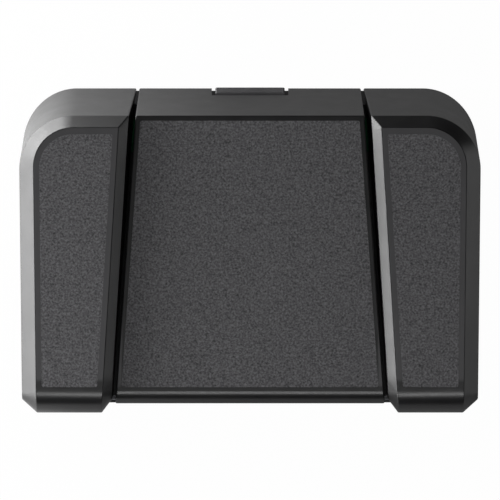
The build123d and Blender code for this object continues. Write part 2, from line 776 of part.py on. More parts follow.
def hinge_pin(middle, lug_spread):
    """Headed pin through both lugs, grooved at its tail for a clip."""
    left = middle - lug_spread - LUG_W / 2
    right = middle + lug_spread + LUG_W / 2
    pin = rod(left, right + PIN_TAIL, PIN_R)
    pin = pin + rod(left - PIN_HEAD_T, left, PIN_HEAD_R)
    groove = rod(right + CLIP_FIT, right + CLIP_T + CLIP_FIT * 3, PIN_R + OVER)
    groove = groove - rod(right, right + PIN_TAIL, PIN_R - CLIP_GROOVE)
    return pin - groove


def hinge_clip(middle, lug_spread):
    """Open ring that snaps into the pin's groove."""
    start = middle + lug_spread + LUG_W / 2 + CLIP_FIT * 2
    ring = rod(start, start + CLIP_T, CLIP_R)
    ring = ring - rod(start - OVER, start + OVER, PIN_R - CLIP_GROOVE + CLIP_FIT)
    mouth = block(start - OVER, start + OVER, HINGE_Y - CLIP_MOUTH / 2, HINGE_Y + CLIP_MOUTH / 2,
                  HINGE_Z, HINGE_Z + CLIP_R * 2)
    return ring - mouth


def hinge_clips():
    spots = ((-SIDE_X, SIDE_LUG_SPREAD), (0, CENTRE_LUG_SPREAD), (SIDE_X, SIDE_LUG_SPREAD))
    return Compound([hinge_clip(middle, spread) for middle, spread in spots])


def base_outline(edge, front, rear, corner_r):
    """Footprint of a layer of the base, set in from the pedals' outer faces."""
    front_x = outer_edge_x(front) - edge
    rear_x = outer_edge_x(rear) - edge
    corners = [(front_x, front), (rear_x, rear), (-rear_x, rear), (-front_x, front)]
    sketch = make_face(Polyline(*corners, close=True))
    sketch = fillet(sketch.vertices().group_by(Axis.Y)[-1], radius=corner_r)
    return fillet(sketch.vertices().group_by(Axis.Y)[0], radius=PLATE_FRONT_R)


def base_screw_places():
    return [(side * x, y) for side in (-1, 1) for x, y in (
        (BASE_SCREW_OUTER_X, BASE_SCREW_FRONT_Y),
        (BASE_SCREW_OUTER_X, BASE_SCREW_REAR_Y),
        (BASE_SCREW_INNER_X, BASE_SCREW_FRONT_Y),
        (BASE_SCREW_INNER_X, BASE_SCREW_REAR_Y),
    )]


def port_screw_places():
    return [(side * (PORT_HALF + PORT_EAR / 2), PORT_EAR_Y) for side in (-1, 1)]


def base_pan():
    """Thin coated pan that closes the underside out to the pedals' edges."""
    outline = base_outline(PAN_EDGE, PAN_FRONT_Y, PAN_REAR_Y, PAN_CORNER_R)
    pan = extrude(Pos(0, 0, FOOT_T) * outline, amount=PAN_T)
    for x, y in base_screw_places():
        pan = pan - post(x, y, 0, PLATE_TOP, SCREW_HEAD_R + SCREW_CLEAR)
    return pan


def base_plate():
    """Steel plate that gives the switch its weight."""
    outline = base_outline(PLATE_EDGE, PLATE_FRONT_Y, PLATE_REAR_Y, PLATE_CORNER_R)
    plate = extrude(Pos(0, 0, PAN_TOP) * outline, amount=PLATE_T)
    for x, y in base_screw_places():
        plate = plate - post(x, y, 0, PLATE_TOP + OVER, SCREW_R + SCREW_FIT)
        plate = plate - post(x, y, 0, FOOT_T + BASE_SCREW_SINK, SCREW_HEAD_R + SCREW_CLEAR)
    for x, y in port_screw_places():
        plate = plate - post(x, y, 0, PLATE_TOP + OVER, BOARD_SCREW_R + SCREW_FIT)
    return plate


def rubber_feet():
    xs = (-FOOT_X, 0, FOOT_X)
    feet = [post(x, y, 0, FOOT_T, FOOT_R) for x in xs for y in (FOOT_FRONT_Y, FOOT_REAR_Y)]
    return Compound([chamfer(foot.edges().group_by(Axis.Z)[0], length=FOOT_CHAMFER) for foot in feet])


def base_screws():
    """Screws from below, through the plate into the tray's bosses."""
    length = TRAY_TOP + BASE_BOSS_H - FOOT_T - BASE_SCREW_SINK - BASE_BOSS_ROOF
    one = screw(length, SCREW_R, SCREW_HEAD_R, BASE_SCREW_SINK - SCREW_CLEAR)
    return Compound([Pos(x, y, FOOT_T + BASE_SCREW_SINK) * one for x, y in base_screw_places()])


def lug(x):
    """Ear on the tray that holds a hinge pin."""
    foot = [
        (HINGE_Y - LUG_R, PLATE_TOP + TRAY_T / 2),
        (HINGE_Y + LUG_R + LUG_FOOT, PLATE_TOP + TRAY_T / 2),
        (HINGE_Y + LUG_R + LUG_FOOT, TRAY_TOP),
        (HINGE_Y + LUG_R, HINGE_Z),
        (HINGE_Y - LUG_R, HINGE_Z),
    ]
    ear = prism(foot, x - LUG_W / 2, x + LUG_W / 2)
    return ear + rod(x - LUG_W / 2, x + LUG_W / 2, LUG_R)


def catch(x):
    """Wall with a lip that keeps a pedal's hook from lifting."""
    wall_y = HOOK_Y - HOOK_TOE - CATCH_ROOM - CATCH_WALL
    lip_y = HOOK_Y - CATCH_ROOM
    profile = [
        (wall_y, PLATE_TOP + TRAY_T / 2),
        (wall_y + CATCH_WALL, PLATE_TOP + TRAY_T / 2),
        (wall_y + CATCH_WALL, CATCH_Z),
        (lip_y, CATCH_Z),
        (lip_y, CATCH_Z + CATCH_LIP),
        (wall_y, CATCH_Z + CATCH_LIP),
    ]
    reach = HOOK_W / 2 + CATCH_ROOM
    return prism(profile, x - reach, x + reach)


def stop_places():
    xs = around(-SIDE_X, SIDE_STOP_SPREAD) + around(0, CENTRE_STOP_SPREAD) + around(SIDE_X, SIDE_STOP_SPREAD)
    return [(x, STOP_Y) for x in xs]


def base_tray():
    """Moulded floor with hinge lugs, stop posts, catches and screw bosses."""
    outline = base_outline(
        PLATE_EDGE + TRAY_EDGE,
        PLATE_FRONT_Y + TRAY_EDGE,
        PLATE_REAR_Y - TRAY_EDGE,
        PLATE_CORNER_R - TRAY_EDGE,
    )
    tray = extrude(Pos(0, 0, PLATE_TOP) * outline, amount=TRAY_T)
    floor = PLATE_TOP + TRAY_T / 2
    lug_xs = around(-SIDE_X, SIDE_LUG_SPREAD) + around(0, CENTRE_LUG_SPREAD) + around(SIDE_X, SIDE_LUG_SPREAD)
    for x in lug_xs:
        tray = tray + lug(x)
    for x in (-SIDE_X, -CENTRE_HOOK_SPREAD, CENTRE_HOOK_SPREAD, SIDE_X):
        tray = tray + catch(x)
    for x, y in stop_places():
        tray = tray + post(x, y, floor, BUMPER_SEAT_Z, POST_R)
    for x, y in base_screw_places():
        tray = tray + post(x, y, floor, TRAY_TOP + BASE_BOSS_H, BASE_BOSS_R)
    for x, y in board_screw_places():
        tray = tray + post(x, y, floor, BOARD_Z, STANDOFF_R)
    for x in TRAY_RIB_XS:
        tray = tray + block(x - TRAY_RIB_T / 2, x + TRAY_RIB_T / 2, TRAY_RIB_FRONT_Y, TRAY_RIB_REAR_Y,
                            floor, TRAY_TOP + TRAY_RIB_H)
    for x in lug_xs:
        tray = tray - rod(x - LUG_W, x + LUG_W, PIN_R + BUSH_FIT)
    for x, y in base_screw_places():
        top = TRAY_TOP + BASE_BOSS_H - BASE_BOSS_ROOF + SCREW_CLEAR
        tray = tray - post(x, y, 0, top, SCREW_R + SCREW_FIT)
    for x, y in board_screw_places():
        tray = tray - post(x, y, PLATE_TOP, BOARD_Z + OVER, BOARD_SCREW_R + SCREW_FIT)
    for x, y in port_screw_places():
        tray = tray - post(x, y, 0, BOARD_Z, BOARD_SCREW_R + SCREW_FIT)
    return tray


def stop_bumpers():
    pads = [post(x, y, BUMPER_SEAT_Z, BUMPER_SEAT_Z + BUMPER_T, BUMPER_R) for x, y in stop_places()]
    return Compound([fillet(pad.edges().group_by(Axis.Z)[-1], radius=BUMPER_T / 4) for pad in pads])


def spring_seats():
    """Discs that centre the return springs on the tray."""
    seats = []
    for x in (-SIDE_X, 0, SIDE_X):
        seat = post(x, SPRING_Y, TRAY_TOP, TRAY_TOP + SEAT_T, SEAT_R)
        seats.append(seat + post(x, SPRING_Y, TRAY_TOP, TRAY_TOP + SEAT_T + SPIGOT_H, SPIGOT_R))
    return Compound(seats)


def return_spring(x):
    """Square-wire compression spring, its end turns wound closer than the rest."""
    low = TRAY_TOP + SEAT_T
    rise = SPRING_TOP_Z - low - SPRING_WIRE
    count = SPRING_TURNS * SPRING_STEPS
    half = SPRING_WIRE / 2
    sections = []
    for step in range(count + 1):
        share = step / count
        turn = 2 * pi * SPRING_TURNS * share
        lift = share - SPRING_END_SHARE * sin(2 * pi * share) / (2 * pi)
        z = low + half + rise * lift
        outward = Vector(cos(turn), sin(turn), 0)
        middle = Vector(x, SPRING_Y, z) + outward * SPRING_R
        up = Vector(0, 0, half)
        out = outward * half
        corners = [middle + out + up, middle - out + up, middle - out - up, middle + out - up]
        sections.append(make_face(Polyline(*corners, close=True)))
    return loft(sections, ruled=True)


def board_screw_places():
    return [(side * x, BOARD_SCREW_Y) for side in (-1, 1) for x in (BOARD_SCREW_INNER_X, BOARD_SCREW_OUTER_X)]


def main_board():
    board = block(-BOARD_HALF, BOARD_HALF, BOARD_FRONT_Y, BOARD_REAR_Y, BOARD_Z, BOARD_TOP)
    board = board + block(-BOARD_TONGUE_HALF, BOARD_TONGUE_HALF, BOARD_FRONT_Y, BOARD_TONGUE_Y, BOARD_Z, BOARD_TOP)
    half = USB_W / 2 + USB_FIT
    board = board - block(-half, half, PLUG_POCKET_Y - USB_LENGTH - USB_FIT, FAR, 0, RIDGE_Z)
    for x, y in board_screw_places():
        board = board - post(x, y, 0, RIDGE_Z, BOARD_SCREW_R + SCREW_FIT)
    return board


def board_screws():
    one = screw(BOARD_TOP - PLATE_TOP - SCREW_CLEAR, BOARD_SCREW_R, BOARD_SCREW_HEAD_R, BOARD_SCREW_HEAD_T)
    return Compound([Pos(x, y, BOARD_TOP) * Rot(180, 0, 0) * one for x, y in board_screw_places()])


def controller_chip():
    y = (BOARD_FRONT_Y + BOARD_REAR_Y) / 2
    half = CHIP / 2
    return block(CHIP_X - half, CHIP_X + half, y - half, y + half, BOARD_TOP, BOARD_TOP + CHIP_T)


def switch_body(x):
    """Housing of a push switch, bored for its stem."""
    shoulder = BOARD_TOP + SWITCH_H * SWITCH_SHOULDER_SHARE
    top = BOARD_TOP + SWITCH_H
    half = SWITCH_SIZE / 2
    small = SWITCH_TOP_SIZE / 2
    body = block(x - half, x + half, SWITCH_Y - half, SWITCH_Y + half, BOARD_TOP, shoulder)
    body = body + block(x - small, x + small, SWITCH_Y - small, SWITCH_Y + small, BOARD_TOP, top)
    return body - post(x, SWITCH_Y, BOARD_TOP + SWITCH_FLOOR, top + OVER, STEM_R + STEM_FIT)


def switch_stem(x):
    """Plunger of a push switch, just clear of the pedal's finger at rest."""
    top = FINGER_Z - STEM_GAP
    stem = post(x, SWITCH_Y, top - STEM_LENGTH, top, STEM_R)
    return chamfer(stem.edges().group_by(Axis.Z)[-1], length=STEM_CHAMFER)


def plug_section(width, height, radius, y):
    """Rounded slot outline that faces the rear, centred on the receptacle."""
    plane = Plane(origin=(0, y, USB_Z), x_dir=(1, 0, 0), z_dir=(0, -1, 0))
    return plane * RectangleRounded(width, height, radius)


def usb_tube(grow, y_from, y_to):
    radius = USB_H / 2 + grow - USB_ROUND_SHORT
    face = plug_section(USB_W + grow * 2, USB_H + grow * 2, radius, y_from)
    return extrude(face, amount=y_to - y_from, dir=Vector(0, 1, 0))


def usb_c_shell():
    """Drawn metal shell of the receptacle, closed at its inner end."""
    front = PLUG_POCKET_Y - USB_LENGTH
    shell = usb_tube(0, front, PLUG_POCKET_Y)
    return shell - usb_tube(-USB_WALL, front + USB_WALL, PLUG_POCKET_Y + OVER)


def usb_c_tongue():
    """Moulded insert of the receptacle: a block with the contact tongue in front."""
    front = PLUG_POCKET_Y - USB_LENGTH + USB_WALL
    insert = usb_tube(-USB_WALL, front, front + TONGUE_BLOCK)
    return insert + block(-TONGUE_W / 2, TONGUE_W / 2, front, front + TONGUE_BLOCK + TONGUE_LENGTH,
                          USB_Z - TONGUE_T / 2, USB_Z + TONGUE_T / 2)


def port_housing():
    """Block in the rear cut-out: a hood over an upright face that is pocketed for a plug."""
    outline = [
        (PORT_FRONT_Y, TRAY_TOP),
        (PORT_FRONT_Y, PORT_TOP_Z),
        (rear_wall_y(PORT_TOP_Z), PORT_TOP_Z),
        (PORT_REAR_Y, PORT_HOOD_Z),
        (PORT_REAR_Y, PAN_TOP),
        (PLATE_REAR_Y + PORT_STEP_CLEAR, PAN_TOP),
        (PLATE_REAR_Y + PORT_STEP_CLEAR, TRAY_TOP),
    ]
    housing = prism(outline, -PORT_HALF, PORT_HALF)
    rear_edges = housing.edges().filter_by(lambda edge: edge.center().Y > PLATE_REAR_Y + PORT_STEP_CLEAR)
    housing = fillet(rear_edges.filter_by(lambda edge: edge.center().Z > TRAY_TOP), radius=EDGE_R)
    inside = PORT_HALF - PORT_SIDE
    housing = housing - block(-inside, inside, 0, PLUG_POCKET_Y - PORT_BULKHEAD, 0, PORT_TOP_Z - PORT_ROOF)
    pocket = plug_section(PLUG_POCKET_W, PLUG_POCKET_H, PLUG_POCKET_R, PLUG_POCKET_Y)
    housing = housing - extrude(pocket, amount=FAR, dir=Vector(0, 1, 0))
    housing = housing - usb_tube(USB_FIT, 0, PLUG_POCKET_Y + OVER)
    ear_half = PORT_HALF + PORT_EAR
    ear_y = PORT_EAR / 2
    for side in (-1, 1):
        ends = sorted((side * (PORT_HALF - PORT_SIDE), side * ear_half))
        ear = block(ends[0], ends[1], PORT_EAR_Y - ear_y, PORT_EAR_Y + ear_y, TRAY_TOP, TRAY_TOP + PORT_EAR_T)
        housing = housing + ear
    for x, y in port_screw_places():
        housing = housing - post(x, y, 0, RIDGE_Z, BOARD_SCREW_R + SCREW_FIT)
    return housing


def port_screws():
    seat = TRAY_TOP + PORT_EAR_T
    length = seat - PAN_TOP - PORT_SCREW_CLEAR
    one = screw(length, BOARD_SCREW_R, BOARD_SCREW_HEAD_R, BOARD_SCREW_HEAD_T)
    return Compound([Pos(x, y, seat) * Rot(180, 0, 0) * one for x, y in port_screw_places()])


def pieces():
    """Every sub-part by name, in the place that it has at rest."""
    side = {
        "pedal_shell": side_shell(),
        "tread": tread(side_tread_outline, 0),
        "pedal_frame": side_frame(),
        "frame_screws": frame_screws(0, around(SIDE_X, SIDE_SCREW_SPREAD)),
        "bushes": bushes(SIDE_X, SIDE_LUG_SPREAD),
    }
    made = {}
    for name, piece in side.items():
        made["right_" + name] = piece
        made["left_" + name] = mirror(piece, about=Plane.YZ)
    made["centre_pedal_shell"] = centre_shell()
    made["centre_tread"] = tread(centre_tread_outline, CROWN_DEPTH)
    made["centre_pedal_frame"] = centre_frame()
    made["centre_frame_screws"] = frame_screws(CROWN_DEPTH, around(0, CENTRE_SCREW_SPREAD))
    made["centre_bushes"] = bushes(0, CENTRE_LUG_SPREAD)
    for name, x, spread in (
        ("left", -SIDE_X, SIDE_LUG_SPREAD),
        ("centre", 0, CENTRE_LUG_SPREAD),
        ("right", SIDE_X, SIDE_LUG_SPREAD),
    ):
        made[name + "_hinge_pin"] = hinge_pin(x, spread)
        made[name + "_spring"] = return_spring(x)
        made[name + "_switch_body"] = switch_body(x)
        made[name + "_switch_stem"] = switch_stem(x)
    made["hinge_clips"] = hinge_clips()
    made["base_pan"] = base_pan()
    made["base_plate"] = base_plate()
    made["base_tray"] = base_tray()
    made["rubber_feet"] = rubber_feet()
    made["base_screws"] = base_screws()
    made["stop_bumpers"] = stop_bumpers()
    made["spring_seats"] = spring_seats()
    made["main_board"] = main_board()
    made["board_screws"] = board_screws()
    made["controller_chip"] = controller_chip()
    made["usb_c_shell"] = usb_c_shell()
    made["usb_c_tongue"] = usb_c_tongue()
    made["port_housing"] = port_housing()
    made["port_screws"] = port_screws()
    return made


def main():
    os.makedirs("parts", exist_ok=True)
    for name, piece in pieces().items():
        export_step(piece, "parts/" + name + ".step")


if __name__ == "__main__":
    main()
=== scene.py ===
import json
import math

import bmesh
import bpy
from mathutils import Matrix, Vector


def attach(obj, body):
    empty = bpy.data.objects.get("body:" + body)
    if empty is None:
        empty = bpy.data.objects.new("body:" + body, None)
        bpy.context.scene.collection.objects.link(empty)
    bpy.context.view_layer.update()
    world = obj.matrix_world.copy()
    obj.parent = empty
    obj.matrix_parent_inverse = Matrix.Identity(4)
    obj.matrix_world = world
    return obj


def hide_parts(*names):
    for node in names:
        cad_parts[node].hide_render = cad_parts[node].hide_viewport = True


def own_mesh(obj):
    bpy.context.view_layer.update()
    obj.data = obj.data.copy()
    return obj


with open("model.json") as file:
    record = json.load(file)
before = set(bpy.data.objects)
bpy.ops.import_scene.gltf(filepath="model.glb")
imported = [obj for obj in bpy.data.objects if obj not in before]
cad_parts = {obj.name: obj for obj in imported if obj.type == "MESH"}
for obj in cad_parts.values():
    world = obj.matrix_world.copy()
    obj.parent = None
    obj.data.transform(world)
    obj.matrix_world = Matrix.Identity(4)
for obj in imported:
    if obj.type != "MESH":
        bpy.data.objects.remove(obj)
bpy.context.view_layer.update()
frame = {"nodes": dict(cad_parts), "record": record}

# The camera, in metres and degrees: a long lens almost square to the pedal tops
CAMERA_ELEVATION = 65.96
CAMERA_DISTANCE = 3.0
CAMERA_TARGET = Vector((0.0, -0.00591, 0.020))
CAMERA_CLIP = (0.1, 20.0)
LENS_MM = 413.7
SENSOR_MM = 36.0

# The floor, in metres: larger than any view of the object, and white to the camera
FLOOR_HALF = 2.0
FLOOR_WHITE = 0.90
FLOOR_GLOW_SHARE = 0.98

# The patch of floor that shows through the gaps between the pedals, and stays dark
GAP_HALF_WIDTH = 0.085
GAP_FRONT_Y = -0.083
GAP_REAR_Y = 0.0950

# What gloss sees in the floor, a painted reflection: painted shade that makes it dimmer to the right, and a
# painted glow at the left and in front
GLOSS_PAINTED_SHADE_SHARE = 0.56
GLOSS_PAINTED_SHADE_X = (-0.13, -0.01)
GLOSS_PAINTED_LEFT_GLOW = 1.0
GLOSS_LEFT_X = (-0.15, -0.09)
GLOSS_PAINTED_FRONT_GLOW = 0.35
GLOSS_FRONT_Y = (-0.11, -0.09)

# Every lamp is a rectangle: its place, its aim, its width and height in metres, and its watts
OBJECT_MIDDLE = (0.0, 0.0, 0.03)
LAMPS = {
    "strip_left": ((-0.55, -0.03, 0.12), (0.0, -0.03, 0.06), (0.9, 0.18), 4.5),
    "strip_corner": ((-0.41, 0.55, 0.12), (-0.1, 0.05, 0.05), (0.45, 0.18), 2.2),
    "left_far": ((-1.2, 0.0, 0.16), OBJECT_MIDDLE, (1.2, 0.30), 3.8),
    "left_rear_low": ((-0.7, 0.55, 0.12), OBJECT_MIDDLE, (0.5, 0.2), 1.6),
    "near_rear": ((-0.27, 0.5, 0.2), (-0.1, 0.08, 0.04), (0.35, 0.2), 0.65),
    "front_high": ((0.0, -0.80, 1.27), OBJECT_MIDDLE, (0.9, 0.22), 4.7),
    "front_top": ((0.0, -0.64, 1.37), OBJECT_MIDDLE, (0.9, 0.18), 2.8),
    "strip_right": ((0.6, 0.05, 0.12), (0.0, 0.0, 0.05), (0.6, 0.16), 0.45),
}

# The room's own light, which the camera sees as white
WORLD_LEVEL = 0.01
WORLD_SEEN = 1.0

# Nearly all of a noise texture's values lie between these two
NOISE_LOW = 0.3
NOISE_HIGH = 0.7

# Cloudy changes of tone and sheen on moulded plastic: patches a metre, and levels of detail
CLOUD_SCALE = 90.0
CLOUD_DETAIL = 3.0

# The flat crown round the outer treads, matt and with a lighter tone that is partly its matt finish and
# partly painted light: how its normal leans, and where it lies in metres
CROWN_UP = (0.950, 0.962)
CROWN_LEAN_LEAST = (-0.20, -0.24)
CROWN_LEAN_MOST = (-0.31, -0.27)
CROWN_FRONT_Y = (-0.083, -0.081)
CROWN_INNER_X = (0.066, 0.067)
CROWN_ROUGHNESS = 0.50

# Flecks and pebbles on the treads: levels of detail, and how strong the finer ones are
FLECK_DETAIL = 3.0
TREAD_NOISE_ROUGHNESS = 0.6

# Fine marks on metal: levels of detail, and depth in metres
MARK_DETAIL = 4.0
MARK_DEPTH = 0.00001

# The foot of the right pedal's inner chamfer at both ends, which the left one mirrors, how near to it a
# point counts as on it, how far it is lifted, and how long the lift fades at each end, all in metres
CHAMFER_FOOT_FRONT = Vector((0.07131, -0.08570, 0.01762))
CHAMFER_FOOT_REAR = Vector((0.06324, 0.05407, 0.05512))
CHAMFER_FOOT_REACH = 0.0010
CHAMFER_LIFT = 0.0024
CHAMFER_LIFT_FADE = 0.008

# Points nearer than this in metres are one, and edges that turn by more degrees are sharp
SAME_POINT = 0.000001
SHARP_ANGLE = 40.0


def node_tree(material):
    material.use_nodes = True
    tree = material.node_tree
    tree.nodes.clear()
    return tree


def add(tree, kind, **values):
    node = tree.nodes.new(kind)
    for name, value in values.items():
        setattr(node, name, value)
    return node


def object_axes(tree, kind="Object"):
    """The three axes of the object's own place in metres, or of its normal."""
    coordinates = add(tree, "ShaderNodeTexCoord")
    axes = add(tree, "ShaderNodeSeparateXYZ")
    tree.links.new(coordinates.outputs[kind], axes.inputs["Vector"])
    return axes.outputs


def noise(tree, scale, detail=2.0, roughness=0.5):
    """Noise in the object's own metres."""
    coordinates = add(tree, "ShaderNodeTexCoord")
    texture = add(tree, "ShaderNodeTexNoise")
    texture.inputs["Scale"].default_value = scale
    texture.inputs["Detail"].default_value = detail
    texture.inputs["Roughness"].default_value = roughness
    tree.links.new(coordinates.outputs["Object"], texture.inputs["Vector"])
    return texture.outputs["Fac"]


def mapped(tree, value, low, high, from_low=NOISE_LOW, from_high=NOISE_HIGH):
    """A value spread from low to high."""
    node = add(tree, "ShaderNodeMapRange")
    node.inputs["From Min"].default_value = from_low
    node.inputs["From Max"].default_value = from_high
    node.inputs["To Min"].default_value = low
    node.inputs["To Max"].default_value = high
    tree.links.new(value, node.inputs["Value"])
    return node.outputs["Result"]


def risen(tree, value, span):
    """Zero at the span's first value, and one at its second."""
    return mapped(tree, value, 0.0, 1.0, *span)


def math_node(tree, operation, first, second=None):
    """A maths node on two values, each a socket or a number."""
    node = add(tree, "ShaderNodeMath", operation=operation)
    for socket, value in zip(node.inputs, (first, second)):
        if isinstance(value, (int, float)):
            socket.default_value = value
        elif value is not None:
            tree.links.new(value, socket)
    return node.outputs["Value"]


def all_of(tree, *values):
    """One where every value is one."""
    result = values[0]
    for value in values[1:]:
        result = math_node(tree, "MULTIPLY", result, value)
    return result


def colour_between(tree, value, tones):
    """A texture's value as a colour from the dark tone to the light one."""
    ramp = add(tree, "ShaderNodeValToRGB")
    for element, position, tone in zip(ramp.color_ramp.elements, (NOISE_LOW, NOISE_HIGH), tones):
        element.position = position
        element.color = (*tone, 1.0)
    tree.links.new(value, ramp.inputs["Fac"])
    return ramp.outputs["Color"]


def surface(tree, metallic=0.0):
    shader = add(tree, "ShaderNodeBsdfPrincipled")
    shader.inputs["Metallic"].default_value = metallic
    output = add(tree, "ShaderNodeOutputMaterial")
    tree.links.new(shader.outputs["BSDF"], output.inputs["Surface"])
    return shader


def bump(tree, shader, height, depth):
    node = add(tree, "ShaderNodeBump")
    node.inputs["Strength"].default_value = 1.0
    node.inputs["Distance"].default_value = depth
    tree.links.new(height, node.inputs["Height"])
    tree.links.new(node.outputs["Normal"], shader.inputs["Normal"])


def moulded(name, tones, rough, grain_scale, grain_depth):
    """Moulded plastic: a fine spark-eroded grain, and faint cloudy changes of sheen."""
    material = bpy.data.materials.new(name)
    tree = node_tree(material)
    shader = surface(tree)
    clouds = noise(tree, CLOUD_SCALE, CLOUD_DETAIL)
    tree.links.new(colour_between(tree, clouds, tones), shader.inputs["Base Color"])
    tree.links.new(mapped(tree, clouds, *rough), shader.inputs["Roughness"])
    bump(tree, shader, noise(tree, grain_scale), grain_depth)
    return material


def crown_mask(tree):
    """One on the flat crown round the outer treads, whose lighter tone is partly painted light, and zero on
    the rest of a shell.
    """
    along, up = object_axes(tree, "Normal")[1:]
    x, y = object_axes(tree)[:2]
    return all_of(
        tree,
        risen(tree, up, CROWN_UP),
        risen(tree, along, CROWN_LEAN_LEAST),
        risen(tree, along, CROWN_LEAN_MOST),
        risen(tree, y, CROWN_FRONT_Y),
        risen(tree, math_node(tree, "ABSOLUTE", x), CROWN_INNER_X),
    )


def shell_skin(name, tones, crown_painted_light_tones, rough, grain_scale, grain_depth):
    """Satin moulding whose crown is matt and lighter, its lighter tone partly of the matt finish and partly
    painted light.
    """
    material = bpy.data.materials.new(name)
    tree = node_tree(material)
    shader = surface(tree)
    clouds = noise(tree, CLOUD_SCALE, CLOUD_DETAIL)
    crown = crown_mask(tree)
    # Painted light in part: the crown gets the lighter tones, standing in for the light its faces catch
    colour = add(tree, "ShaderNodeMix", data_type="RGBA")
    tree.links.new(crown, colour.inputs["Factor"])
    tree.links.new(colour_between(tree, clouds, tones), colour.inputs["A"])
    tree.links.new(colour_between(tree, clouds, crown_painted_light_tones), colour.inputs["B"])
    tree.links.new(colour.outputs["Result"], shader.inputs["Base Color"])
    roughness = mapped(tree, clouds, *rough)
    matt = math_node(tree, "MULTIPLY", crown, math_node(tree, "SUBTRACT", CROWN_ROUGHNESS, roughness))
    tree.links.new(math_node(tree, "ADD", roughness, matt), shader.inputs["Roughness"])
    bump(tree, shader, noise(tree, grain_scale), grain_depth)
    return material


def grained(name, tones, rough, grain_scale, grain_depth, fleck_scale):
    """Textured tread: a pebbled grain under lighter flecks, which are the smoother parts."""
    material = bpy.data.materials.new(name)
    tree = node_tree(material)
    shader = surface(tree)
    flecks = noise(tree, fleck_scale, FLECK_DETAIL, TREAD_NOISE_ROUGHNESS)
    tree.links.new(colour_between(tree, flecks, tones), shader.inputs["Base Color"])
    tree.links.new(mapped(tree, flecks, *reversed(rough)), shader.inputs["Roughness"])
    bump(tree, shader, noise(tree, grain_scale, roughness=TREAD_NOISE_ROUGHNESS), grain_depth)
    return material


def metal(name, tones, rough, marks_a_metre):
    """Worked metal: fine marks, longer along an axis where they are fewer a metre."""
    material = bpy.data.materials.new(name)
    tree = node_tree(material)
    shader = surface(tree, metallic=1.0)
    coordinates = add(tree, "ShaderNodeTexCoord")
    mapping = add(tree, "ShaderNodeMapping")
    mapping.inputs["Scale"].default_value = marks_a_metre
    marks = add(tree, "ShaderNodeTexNoise")
    marks.inputs["Scale"].default_value = 1.0
    marks.inputs["Detail"].default_value = MARK_DETAIL
    tree.links.new(coordinates.outputs["Object"], mapping.inputs["Vector"])
    tree.links.new(mapping.outputs["Vector"], marks.inputs["Vector"])
    tree.links.new(colour_between(tree, marks.outputs["Fac"], tones), shader.inputs["Base Color"])
    tree.links.new(mapped(tree, marks.outputs["Fac"], *rough), shader.inputs["Roughness"])
    bump(tree, shader, marks.outputs["Fac"], MARK_DEPTH)
    return material


# Red, green and blue of a neutral grey with a trace of violet
GREY_TINT = (1.0, 0.985, 1.04)


def greys(*levels):
    """Greys of the levels given, from dark to light."""
    return [tuple(level * tint for tint in GREY_TINT) for level in levels]


# Tones and roughness run from low to high. After them come a plastic's bumps a metre and their depth in
# metres, with the tread's flecks a metre last, or a metal's marks a metre along each axis
MATERIALS = {
    # The shell's second greys are the crown's lighter tones, partly of its matt finish and partly painted
    # light
    "pedal_shell": shell_skin("satin_shell", greys(0.0095, 0.0115), greys(0.048, 0.054),
                              (0.31, 0.35), 5200.0, 0.000008),
    "tread": grained("tread_grain", greys(0.028, 0.162), (0.62, 0.80), 1900.0, 0.00010, 1000.0),
    # The port block's light grey is painted light: it brightens the tab, which sits in shade under the rear
    # wall
    "port_block": moulded("satin_port_painted_light", greys(0.054, 0.060), (0.44, 0.50), 5200.0, 0.000008),
    "frame_plastic": moulded("filled_plastic", greys(0.05, 0.07), (0.50, 0.62), 2500.0, 0.00002),
    "tray_plastic": moulded("tray_plastic", greys(0.03, 0.04), (0.50, 0.60), 3000.0, 0.00002),
    "coated_steel": moulded("powder_coat", greys(0.02, 0.026), (0.5, 0.6), 1500.0, 0.00003),
    "bush_plastic": moulded("bearing_plastic", ((0.70, 0.68, 0.60), (0.76, 0.74, 0.66)),
                            (0.35, 0.45), 3000.0, 0.00001),
    "plate_steel": metal("zinc_plate", ((0.42, 0.43, 0.45), (0.56, 0.57, 0.60)),
                         (0.32, 0.5), (60.0, 1500.0, 60.0)),
    "pin_steel": metal("ground_steel", ((0.55, 0.55, 0.56), (0.66, 0.66, 0.68)),
                       (0.18, 0.3), (3000.0, 40.0, 40.0)),
    "spring_steel": metal("spring_wire", ((0.40, 0.40, 0.42), (0.52, 0.52, 0.55)),
                          (0.25, 0.4), (500.0, 500.0, 500.0)),
    "screw_steel": metal("black_screw", ((0.08, 0.08, 0.085), (0.12, 0.12, 0.13)),
                         (0.3, 0.45), (900.0, 900.0, 900.0)),
    "foot_rubber": moulded("foot_rubber", greys(0.022, 0.030), (0.75, 0.88), 1800.0, 0.00004),
    "bumper_rubber": moulded("bumper_rubber", greys(0.04, 0.055), (0.7, 0.85), 1800.0, 0.00004),
    "board": moulded("solder_mask", ((0.010, 0.085, 0.035), (0.015, 0.110, 0.045)),
                     (0.25, 0.35), 1500.0, 0.00001),
    "chip_plastic": moulded("chip_resin", greys(0.015, 0.02), (0.5, 0.6), 5000.0, 0.00001),
    "switch_plastic": moulded("switch_housing", greys(0.03, 0.04), (0.4, 0.5), 4000.0, 0.00001),
    "stem_plastic": moulded("stem_red", ((0.42, 0.03, 0.02), (0.50, 0.04, 0.03)),
                            (0.35, 0.45), 4000.0, 0.00001),
    "receptacle_metal": metal("drawn_shell", ((0.62, 0.62, 0.64), (0.74, 0.74, 0.76)),
                              (0.2, 0.32), (300.0, 2500.0, 300.0)),
    "contact_plastic": moulded("contact_insert", greys(0.02, 0.03), (0.4, 0.5), 4000.0, 0.00001),
}


def dress_nodes():
    """Gives every CAD node the material of its slot."""
    slots = {part["node"]: part["material_slot"] for part in frame["record"]["subparts"]}
    for name, piece in frame["nodes"].items():
        piece.data.materials.clear()
        piece.data.materials.append(MATERIALS[slots[name]])


